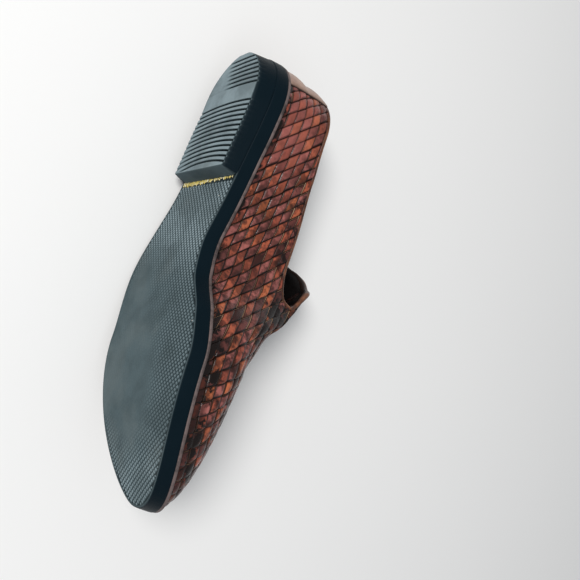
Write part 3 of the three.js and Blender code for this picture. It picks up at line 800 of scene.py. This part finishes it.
def wall_at(wall, up, out):
    """Points at a distance up the wall from its foot and a distance out from it."""
    length, rows = wall["length"], np.arange(len(up))
    i = np.clip((length < up[:, None]).sum(1), 1, ARCH_STEPS)
    span = np.maximum(length[rows, i] - length[rows, i - 1], 1e-9)
    t = np.clip((up - length[rows, i - 1]) / span, 0, 1)

    def between(values):
        return values[rows, i - 1] + t * (values[rows, i] - values[rows, i - 1])

    lean_r, lean_h = np.gradient(wall["radius"], axis=1), np.gradient(wall["height"], axis=1)
    size = np.maximum(np.hypot(lean_r, lean_h), 1e-9)
    tangent_r, tangent_h = between(lean_r / size), between(lean_h / size)
    over = up >= wall["girth"]
    tangent_r, tangent_h = np.where(over, -1, tangent_r), np.where(over, 0, tangent_h)
    radius = between(wall["radius"]) + out * tangent_h
    height = between(wall["height"]) - out * tangent_r
    below = up <= 0
    radius = np.where(below, wall["foot"] + out, radius)
    height = np.where(below, wall["foot_height"] + up, height)
    points = stand(wall["plane"], radius, height)
    share = (height - wall["foot_height"]) / (wall["top"] - wall["foot_height"])
    start = LIP_SHARE[wall["plane"]["side"]]
    points[:, 0] -= wall["lean"] * ease((share - start) / (1 - start))
    return points


# Strips of one set lie along the sole, one above the other, and dip over the vamp.
LEVEL_FIRST = 11.07
LEVEL_STEP = 6.6
LEVEL_SLOPE = 0.0375
VAMP_DROP = 25.0
VAMP_START = 140.0
# Strips of the other set climb from the sole and lean back: where one starts, its distance to the next,
# how far it leans for each mm of height. Round the toe they stand close and upright.
CLIMB_FIRST = 153.2
CLIMB = np.array([
    (-40, 9.1, 1.02),
    (160, 9.1, 1.02),
    (185, 9.1, 0.95),
    (205, 9.1, 0.85),
    (228, 8.8, 0.7),
    (245, 7.0, 0.5),
    (265, 5.4, 0.22),
    (RUN_TOE, 4.6, 0.0),
])
climb_runs = np.linspace(-40, RUN_TOE, 500)
climb_gap = np.interp(climb_runs, CLIMB[:, 0], CLIMB[:, 1])
climb_index = np.concatenate([[0], np.cumsum(2 * np.diff(climb_runs) / (climb_gap[1:] + climb_gap[:-1]))])
climb_index -= np.interp(CLIMB_FIRST, climb_runs, climb_index)
climb_index += (round(climb_index[-1]) - climb_index[-1]) * ease((climb_runs - 228) / (RUN_TOE - 228))
# the outer wall is a little longer from sole to crown, and the strips meet at the crown
crown_runs = np.linspace(THROAT, RUN_TOE, 90)
girths = {side: walls(side, crown_runs)["girth"] for side in (INNER, OUTER)}


def strip_place(side, level_index, climb):
    """Where two strips cross, in counts of either set: place along the wall and distance up it."""
    level = LEVEL_FIRST + LEVEL_STEP * level_index
    foot = np.interp(climb, climb_index, climb_runs)
    run = foot - np.interp(foot, CLIMB[:, 0], CLIMB[:, 2]) * level
    up = level + LEVEL_SLOPE * (np.minimum(run, BALL) - VAMP_START)
    up = up - VAMP_DROP * ease((run - VAMP_START) / (BALL - VAMP_START))
    return run, up * np.interp(run, crown_runs, girths[side] / girths[INNER])


STRIP_LIFT = 0.7
STRIP_BASE = 0.36
# place across the strip as a share of its half, height over the strip's middle, raw edge or not: one raw
# edge, the face, the other raw edge, the back
STRIP_PROFILE = np.array([
    (-1.0, -0.95, 1), (-1.0, -0.26, 1),
    (-1.0, -0.26, 0), (-0.9, -0.04, 0), (-0.5, 0.15, 0), (0.0, 0.22, 0), (0.5, 0.15, 0),
    (0.9, -0.04, 0), (1.0, -0.26, 0),
    (1.0, -0.26, 1), (1.0, -0.95, 1),
    (1.0, -0.95, 0), (-1.0, -0.95, 0),
])
PROFILE_POINTS = len(STRIP_PROFILE)
# the last points of the profile's first three stretches, and the middle of its face
PROFILE_ENDS = (1, 8, 10)
PROFILE_MIDDLE = 5
PROFILE_PAIRS = [(k, k + 1) for k in range(PROFILE_POINTS - 1) if k not in PROFILE_ENDS]
# for each set: half width as a share of the spacing, tilt of the face, range of the strips' counts
STRIP_HALF = (0.44, 0.455)
STRIP_TILT = (0.2, 0.1)
STRIP_COUNTS = ((-22, 24), (-4, 20))
# places along a strip from one crossing to the next, and how steeply it goes over and under
STRIP_STATIONS = np.array((0.0, 0.22, 0.36, 0.44, 0.5, 0.56, 0.64, 0.78))
STRIP_STEEP = 2.4
# counts begin below zero, so the tables of tones begin this far before the strip that counts as zero
TABLE_ZERO = 30
TABLE_SIZE = 80
strip_draws = np.random.default_rng(23)
strip_tones = strip_draws.uniform(0, 1, (2, TABLE_SIZE))
strip_shifts = strip_draws.uniform(-0.05, 0.05, (2, TABLE_SIZE))
cell_tones = strip_draws.uniform(0, 1, (2, TABLE_SIZE, TABLE_SIZE))


def polish_and_shade(run, up, rim):
    """How far the dark polish was worked in, with painted shade along the sole; over 1 the leather is dark
    all over.

    Most is at the topline, over the vamp and its crest and round the toe. Along the sole it is painted
    shade, where the crease between upper and sole lies in shadow.
    """
    front = ease((run - 150) / 40)
    near_rim = ease(1.25 - (rim - up) / 20) * (run < THROAT) * (0.35 + 0.65 * ease((run - 45) / 40))
    vamp = np.clip((run - THROAT + 4) / 26, 0, 1) * np.clip((up - 20) / 22, 0, 1.4)
    crest = 1.5 * ease((up / rim - 0.38) / 0.15) * (run > THROAT - 1)
    crest = crest * (1 - 0.5 * ease((run - BALL) / 20))
    toe = 0.85 * np.clip((run - BALL + 16) / 34, 0, 1)
    # painted shade: a dark band up from the sole, in the crease between upper and sole
    foot = 1.6 * np.clip(1.0 + 0.4 * front - up / (6 + 8 * front), 0, 1)
    sides = 0.55 - 0.43 * ease((105 - run) / 60) + 0.25 * front
    return np.maximum.reduce([0.95 * near_rim, vamp, crest, toe, foot, sides])


def flattened(run, share):
    """How far strips that gather over the toe lie flat, by their share of the way to the crown."""
    return ease((run - BALL + 20) / 20) * (1 - np.clip(1.8 * (1 - share), 0.06, 1))


def crowded(run, share):
    """How close strips lie, so that no raw edge shows: over the vamp, round the toe, at the crown."""
    vamp = ease((run - THROAT - 20) / 20) * ease(3 * share - 1)
    toe = 0.9 * ease((run - BALL + 30) / 20)
    crest = ease((run - THROAT + 6) / 8) * ease(4 * share - 2.6)
    return np.maximum.reduce([vamp, toe, crest])


def strip_wall(side, run, up):
    """The wall behind a strip's points, their distance up it, and which of them lie on it.

    Past the mouth's edge a point is drawn back to the rim or forward to the throat.
    """
    throat = THROAT + 0.05
    wall = walls(side, np.clip(run, RUN_BACK, RUN_TOE))
    past_rim, short = np.maximum(up - wall["rim"], 0), np.maximum(throat - run, 0)
    spare = np.where(short > 0, np.minimum(past_rim, short) + 1.2, past_rim)
    forward = (past_rim > short) & (short > 0)
    wall = walls(side, np.clip(np.where(forward, throat, run), RUN_BACK, RUN_TOE))
    return wall, np.clip(up, -0.3, wall["rim"] - 0.1), (up > -3.5) & (spare < 3.4)


def strip_faces(grid, good, place, outside):
    """Quads of one strip where it lies on the wall, turned outwards; those without area are left out."""
    made = []
    for r in np.flatnonzero(good[:-1].any(1) & good[1:].any(1)):
        if good[r:r + 2].all() or good[r:r + 2, PROFILE_MIDDLE].any():
            made += [(grid[r, a], grid[r, b], grid[r + 1, b], grid[r + 1, a]) for a, b in PROFILE_PAIRS]
    made = np.array(made, int).reshape(-1, 4)
    normal = np.cross(place[made[:, 2]] - place[made[:, 0]], place[made[:, 3]] - place[made[:, 1]])
    made = made[np.linalg.norm(normal, axis=1) > 1e-5]
    middle, beside = grid[:-1, PROFILE_MIDDLE], grid[:-1, PROFILE_MIDDLE + 1]
    onward = grid[1:, PROFILE_MIDDLE]
    facing = np.cross(place[beside] - place[middle], place[onward] - place[middle])
    turned = np.sum(facing * (outside[middle] - place[middle])) < 0
    return made[:, ::-1] if turned else made


def strip_set(family):
    """All strips of one set on both sides, as points with their marks and faces."""
    low, high = STRIP_COUNTS[1 - family]
    stations = (np.arange(low, high)[:, None] + STRIP_STATIONS).ravel()
    aside, profile, raw = [np.tile(column, len(stations)) for column in STRIP_PROFILE.T]
    other = np.repeat(stations, PROFILE_POINTS)
    grid = np.arange(len(other)).reshape(len(stations), PROFILE_POINTS)
    back = np.tile(np.arange(PROFILE_POINTS) > PROFILE_ENDS[-1], len(stations))
    cell = np.round(other).astype(int) + TABLE_ZERO
    points, faces, marks = [], [], {}
    total = 0
    for side in (INNER, OUTER):
        for index in range(*STRIP_COUNTS[family]):
            entry = index + TABLE_ZERO
            over = np.tanh(STRIP_STEEP * np.cos(math.pi * (other + index + family)))
            over = over / math.tanh(STRIP_STEEP)
            own = index + strip_shifts[family, entry] + aside * STRIP_HALF[family] * (1 + 0.03 * over)
            run, up = strip_place(side, *((other, own) if family == 0 else (own, other)))
            within = (run > RUN_BACK + 8) & (run < RUN_TOE + 0.5) & (up > -7) & (up < 140)
            if not within.any():
                continue
            wall, held, fits = strip_wall(side, run, up)
            share = held / wall["girth"]
            lift = STRIP_LIFT * over + profile + STRIP_TILT[family] * aside * (1 + over) / 2
            lift = STRIP_BASE + lift * (1 - flattened(run, share))
            place, outside = wall_at(wall, held, lift), wall_at(wall, held, lift + 1)
            made = strip_faces(grid, (within & fits).reshape(grid.shape), place, outside)
            used = np.zeros(len(other), bool)
            used[made.ravel()] = True
            renumber = np.cumsum(used) - 1 + total
            faces += renumber[made].tolist()
            total += int(used.sum())
            points.append(place[used])
            values = {
                "cell": 0.5 * family + 0.5 * cell_tones[family, entry, cell],
                "strip": np.full(len(other), strip_tones[family, entry]),
                "edge": aside * 0.5 + 0.5,
                # painted shade: darker where a strip goes under its neighbour, and near-black on its back so
                # that the back does not show
                "under_shade": np.where(back, 1, 0.5 - 0.5 * over),
                "raw": raw * (1 - crowded(run, share)),
                "polish_and_shade": polish_and_shade(run, held, wall["rim"]),
            }
            for key, value in values.items():
                marks.setdefault(key, []).append(value[used])
    return np.vstack(points), faces, {key: np.concatenate(value) for key, value in marks.items()}


RAW_TAN = (0.62, 0.38, 0.23)
# near-black for polish stains and for the painted shade in the weave
POLISH_AND_SHADE = (0.006, 0.0028, 0.0024)
STRIP_OXBLOOD = (0.17, 0.046, 0.034)
QUARTER_MAUVE = (0.31, 0.092, 0.074)
MOTTLE_DARK = (0.06, 0.018, 0.014)
# the first set of strips is mauve to red, the second red to tan
STRIP_TONES = [
    (0.0, (0.03, 0.011, 0.01)),
    (0.1, (0.14, 0.044, 0.04)),
    (0.28, (0.3, 0.1, 0.09)),
    (0.49, (0.5, 0.165, 0.145)),
    (0.51, (0.11, 0.029, 0.02)),
    (0.6, (0.34, 0.08, 0.048)),
    (0.86, (0.45, 0.11, 0.055)),
    (1.0, (0.62, 0.18, 0.068)),
]


def strip_leather():
    """Burnished strip leather: each diamond a little different, dark polish in clouds, painted shade in the
    dips and along the strips' edges, pale raw edges.
    """
    material, tree, surface, place = shader("woven strip leather")
    grain = use_group(tree, hide_grain, place, Pores=1500.0, Tone=240.0)
    cell, strip, edge = mark_of(tree, "cell"), mark_of(tree, "strip"), mark_of(tree, "edge")
    under_shade, raw, polish_shade = mark_of(tree, "under_shade"), mark_of(tree, "raw"), mark_of(tree, "polish_and_shade")
    tone = tone_ramp(tree, cell, STRIP_TONES)
    tone = blend(tree, math_of(tree, "MULTIPLY", strip, 0.35), tone, STRIP_OXBLOOD)
    tone = blend(tree, spread(tree, polish_shade, 0.14, 0.5, 0.55, 0.0), tone, QUARTER_MAUVE)
    uneven = math_of(tree, "MULTIPLY", spread(tree, grain["Tone"], 0.25, 0.8, 0.0, 0.75),
                     spread(tree, polish_shade, 0.12, 0.55, 0.3, 0.9))
    mottled = blend(tree, uneven, tone, MOTTLE_DARK)
    clouds = noise(tree, place, 95.0, 4.0, 0.6)
    stain = math_of(tree, "MULTIPLY", spread(tree, clouds, 0.44, 0.57, 0.0, 1.0), polish_shade)
    # over 1 the leather goes near-black: polish over the vamp and its crest, painted shade along the sole
    stain = math_of(tree, "MAXIMUM", stain, spread(tree, polish_shade, 1.0, 1.6, 0.0, 0.8))
    # painted shade where a strip goes under its neighbour
    shade = math_of(tree, "MULTIPLY", spread(tree, under_shade, 0.04, 0.5), 0.95)
    # painted shade along both edges of each strip, widest on the lower edge, weaker where there is little
    # polish
    lower_edge_shade = spread(tree, edge, 0.78, 0.92, 0.0, 1.0)
    rim = math_of(tree, "MAXIMUM", lower_edge_shade, spread(tree, edge, 0.13, 0.03, 0.0, 0.95))
    rim = math_of(tree, "MULTIPLY", rim, spread(tree, polish_shade, 0.14, 0.45, 0.6, 1.0))
    # the near-black mixes polish stains with painted shade
    dark = math_of(tree, "MAXIMUM", math_of(tree, "MAXIMUM", stain, shade), rim, limit=True)
    face = blend(tree, dark, mottled, POLISH_AND_SHADE)
    bare = math_of(tree, "MULTIPLY", raw, spread(tree, under_shade, 0.1, 0.5, 1.0, 0.0))
    bare = math_of(tree, "MULTIPLY", bare, spread(tree, polish_shade, 0.35, 0.9, 0.12, 0.9))
    tree.links.new(blend(tree, bare, face, RAW_TAN), surface.inputs["Base Color"])
    dull = math_of(tree, "MULTIPLY_ADD", raw, 0.5)
    tree.links.new(spread(tree, grain["Tone"], 0.0, 1.0, 0.22, 0.38), dull.node.inputs[2])
    tree.links.new(dull, surface.inputs["Roughness"])
    surface.inputs["Specular IOR Level"].default_value = 0.3
    emboss(tree, surface, grain["Height"], 0.25)
    return material


woven_leather = strip_leather()
for family, name in ((0, "woven_strips_over"), (1, "woven_strips_under")):
    points, faces, marks = strip_set(family)
    strips = make_piece(name, points, faces, woven_leather, marks, sharp=55)
    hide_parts("upper")


# LINING
# Thin black leather glued inside the weave, from the feather edge to the rim. It shows through the gaps
# between strips and at the mouth; it is darker than black leather, as painted shade inside the shoe and in
# the gaps.
LINING_BLACK_SHADE = (0.003, 0.0025, 0.0025)
LINING_SHEEN = (0.007, 0.006, 0.006)
lining_leather = leather("lining leather", LINING_BLACK_SHADE, LINING_SHEEN, 0.42, 0.15, gloss=0.08)
# added places along the shoe where the rim climbs to the lip, as distances behind the throat
MOUTH_STEPS = (13, 11, 9, 7, 5.5, 4, 3, 2.3, 1.8, 1.4, 1.1, 0.9, 0.75, 0.6, 0.45, 0.3, 0.2, 0.13, 0.08, 0.04)


def wall_rows(shares, distances, last=RUN_TOE):
    """Loops of points at shares of the way up to the rim, each at its distance out from the wall."""
    runs = np.concatenate([runs_along(20, 56, 34), THROAT - np.array(MOUTH_STEPS), [THROAT]])
    runs = np.unique(runs[runs <= last])
    sides = [walls(INNER, runs), walls(OUTER, runs[-2:0:-1])]
    return [np.vstack([wall_at(w, share * w["rim"], np.full(len(w["rim"]), out)) for w in sides])
            for share, out in zip(shares, distances)]


LINING_DEPTH = 0.75
LINING_ROWS = 16
shares = np.linspace(0, 1, LINING_ROWS)
distances = [-LINING_DEPTH] * LINING_ROWS + [-LEATHER] * LINING_ROWS
rings = wall_rows(np.concatenate([shares, shares[::-1]]), distances)
lining = make_layers("upper_lining", rings, lining_leather, sharp=60, weld=True)


# TOPLINE BINDING
# A narrow strip of tan leather folded over the rim of the mouth and sewn down, so it shows as a roll. It
# is rounder and fuller over the lip of the throat, and painted dark where it turns in, as shade inside the
# mouth.
BINDING_DARK = (0.045, 0.016, 0.009)
BINDING_TAN = (0.27, 0.1, 0.045)
BINDING_INSIDE_SHADE = (0.016, 0.008, 0.006)
binding_leather = leather(
    "binding leather", BINDING_DARK, BINDING_TAN, 0.4, 0.2, tone=120.0, inside=BINDING_INSIDE_SHADE)
# distance out from the wall's middle, distance above the rim
BINDING_PROFILE = [
    (1.3, -1.3), (1.65, -0.9), (1.75, -0.2), (1.5, 0.6), (0.95, 1.15), (0.0, 1.35),
    (-0.95, 1.15), (-1.6, 0.55), (-1.8, -0.4), (-1.7, -1.4), (-1.3, -2.0),
]
LIP_FULLER = 0.4
LIP_REACH = 26.0
mouth_rows = wall_rows([1.0, 1.0], [-0.3, 0.7], last=THROAT)
edge, outward = mouth_rows[0].copy(), mouth_rows[1] - mouth_rows[0]
binding_count = len(edge)


def along_edge(places, known, points):
    """Points at places along a line of points, each known by its own place along it."""
    return np.stack([np.interp(places, known, points[:, k]) for k in range(3)], -1)


def softened(before, here, after):
    """Each point drawn towards the middle of its two neighbours."""
    return (before + 2 * here + after) / 4


# the edge is drawn round over the lip, in even steps along it
along = np.concatenate([[0], np.cumsum(np.linalg.norm(np.diff(edge, axis=0), axis=1))])
from_tip = along - along[binding_count // 2]
even = np.linspace(-LIP_REACH, LIP_REACH, 105)
round_edge = along_edge(even, from_tip, edge)
for _ in range(80):
    round_edge[1:-1] = softened(round_edge[:-2], round_edge[1:-1], round_edge[2:])
lip_points = np.abs(from_tip) < LIP_REACH - 1
edge[lip_points] = along_edge(from_tip[lip_points], even, round_edge)
onward = np.roll(edge, -1, axis=0) - np.roll(edge, 1, axis=0)
away = np.cross(outward, onward)
away /= np.linalg.norm(away, axis=1)[:, None]
for _ in range(6):
    away = softened(np.roll(away, 1, axis=0), away, np.roll(away, -1, axis=0))
    away /= np.linalg.norm(away, axis=1)[:, None]
# the roll is fuller over the lip of the throat
from_lip = np.linalg.norm(edge - edge[binding_count // 2], axis=1)
full = (1 + LIP_FULLER * ease((24 - from_lip) / 16))[:, None]
rings = [edge + full * (x * outward + y * away) for x, y in BINDING_PROFILE]
faces = bands(len(rings), binding_count, turned=True)
# painted shade on the roll's inner face, and a little along its lower edge against the upper
turned_in_shade = [max(ease((0.5 - x) / 1.2), 0.6 * ease((0.1 - y) / 0.9)) for x, y in BINDING_PROFILE]
binding_marks = {"inside": np.repeat(turned_in_shade, binding_count)}
binding = make_piece("topline_roll", np.vstack(rings), faces, binding_leather, binding_marks, sharp=60)
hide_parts("topline_binding")


# BACK STRAP
# A plain strip of lighter brown leather sewn over the seam at the back, from the feather edge to the rim.
# It stands out in two low swells, and its cut edges are dark.
STRAP_HALF = 23.0
STRAP_FOOT = 32.0
STRAP_SWELL = 1.5
STRAP_ROWS = 26
STRAP_BROWN = (0.25, 0.145, 0.11)
STRAP_TAN = (0.46, 0.305, 0.24)
STRAP_EDGE = (0.02, 0.009, 0.006)
strap_leather = leather("strap leather", STRAP_BROWN, STRAP_TAN, 0.36, 0.16, tone=90.0, inside=STRAP_EDGE)
# from one cut edge to the other: share of the half width, distance out from the wall
strap_across = np.concatenate([[-1.0, -0.985, -0.95], np.linspace(-0.85, 0.85, 19), [0.95, 0.985, 1.0]])
strap_out = np.concatenate([[0.9, 1.6, 1.9], np.full(len(strap_across) - 6, 2.0), [1.9, 1.6, 0.9]])


def strap_column(share, out):
    """Points up the back of the heel, from the feather edge to the rim; shares below 0 are outer."""
    level = np.linspace(0, 1, STRAP_ROWS)
    half = STRAP_FOOT + (STRAP_HALF - STRAP_FOOT) * level
    wall = walls(OUTER if share < 0 else INNER, RUN_BACK + abs(share) * half)
    up = 0.4 + level * (wall["rim"] - 1.0)
    padding = STRAP_SWELL * (1 - abs(share) ** 3) * np.abs(np.sin(2 * math.pi * level)) ** 0.8
    return wall_at(wall, up, out + padding)


strap_points = np.vstack([strap_column(share, out) for share, out in zip(strap_across, strap_out)])
faces = bands(len(strap_across), STRAP_ROWS, closed=False, turned=True)
cut_edge = np.repeat(ease((np.abs(strap_across) - 0.93) / 0.05), STRAP_ROWS)
strap_marks = {"inside": cut_edge}
back_strap = make_piece("back_strap_leather", strap_points, faces, strap_leather, strap_marks, sharp=70)
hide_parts("back_strap")


# FLOOR, LIGHT AND CAMERA
# A white table top under soft studio light. The camera looks down at the sole, rolled so that the toe
# points down in the picture.
TABLE_WHITE = (0.86, 0.865, 0.87)
TABLE_PALE = (0.88, 0.885, 0.89)
TABLE_HALF = 30.0
TABLE_CORNERS = ((-1, -1), (1, -1), (1, 1), (-1, 1))
table, tree, surface, place = shader("white table")
table_tone = blend(tree, noise(tree, place, 3.0), TABLE_WHITE, TABLE_PALE)
tree.links.new(table_tone, surface.inputs["Base Color"])
surface.inputs["Roughness"].default_value = 0.7
floor_mesh = bpy.data.meshes.new("floor")
floor_corners = [(x * TABLE_HALF, y * TABLE_HALF, 0) for x, y in TABLE_CORNERS]
floor_mesh.from_pydata(floor_corners, [], [(0, 1, 2, 3)])
floor_mesh.materials.append(table)
floor = bpy.data.objects.new("floor", floor_mesh)
bpy.context.scene.collection.objects.link(floor)

world = bpy.data.worlds.new("studio")
bpy.context.scene.world = world
world.use_nodes = True
world.node_tree.nodes["Background"].inputs[0].default_value = (0.96, 0.98, 1.0, 1)
world.node_tree.nodes["Background"].inputs[1].default_value = 0.33

SHOE_MIDDLE = Vector((0, 0, 0.03))


def soft_light(name, place, size, power, colour):
    """A round lamp that points at the shoe."""
    lamp = bpy.data.lights.new(name, "AREA")
    lamp.shape = "DISK"
    lamp.size = size
    lamp.energy = power
    lamp.color = colour
    made = bpy.data.objects.new(name, lamp)
    made.location = place
    made.rotation_euler = (SHOE_MIDDLE - Vector(place)).to_track_quat("-Z", "Y").to_euler()
    bpy.context.scene.collection.objects.link(made)


soft_light("key", (-0.25, -1.0, 1.45), 0.7, 25, (1.0, 0.98, 0.95))
soft_light("fill", (0.9, -0.2, 1.2), 0.9, 2.5, (0.95, 0.98, 1.0))

# where the camera stands, the place on the floor that it looks at, how far it is rolled
EYE = Vector((0.046509, -0.179185, 0.386539))
LOOK_AT = Vector((-0.016133, 0.06827, 0))
ROLL = math.radians(97.1591)
camera_data = bpy.data.cameras.new("camera")
camera_data.sensor_width = 36
camera_data.lens = 36
camera_data.clip_start = 0.01
camera = bpy.data.objects.new("camera", camera_data)
camera.location = EYE
look = (LOOK_AT - EYE).to_track_quat("-Z", "Y")
camera.rotation_euler = (look @ Quaternion((0, 0, 1), ROLL)).to_euler()
bpy.context.scene.collection.objects.link(camera)
bpy.context.scene.camera = camera
bpy.context.scene.view_settings.view_transform = "Standard"
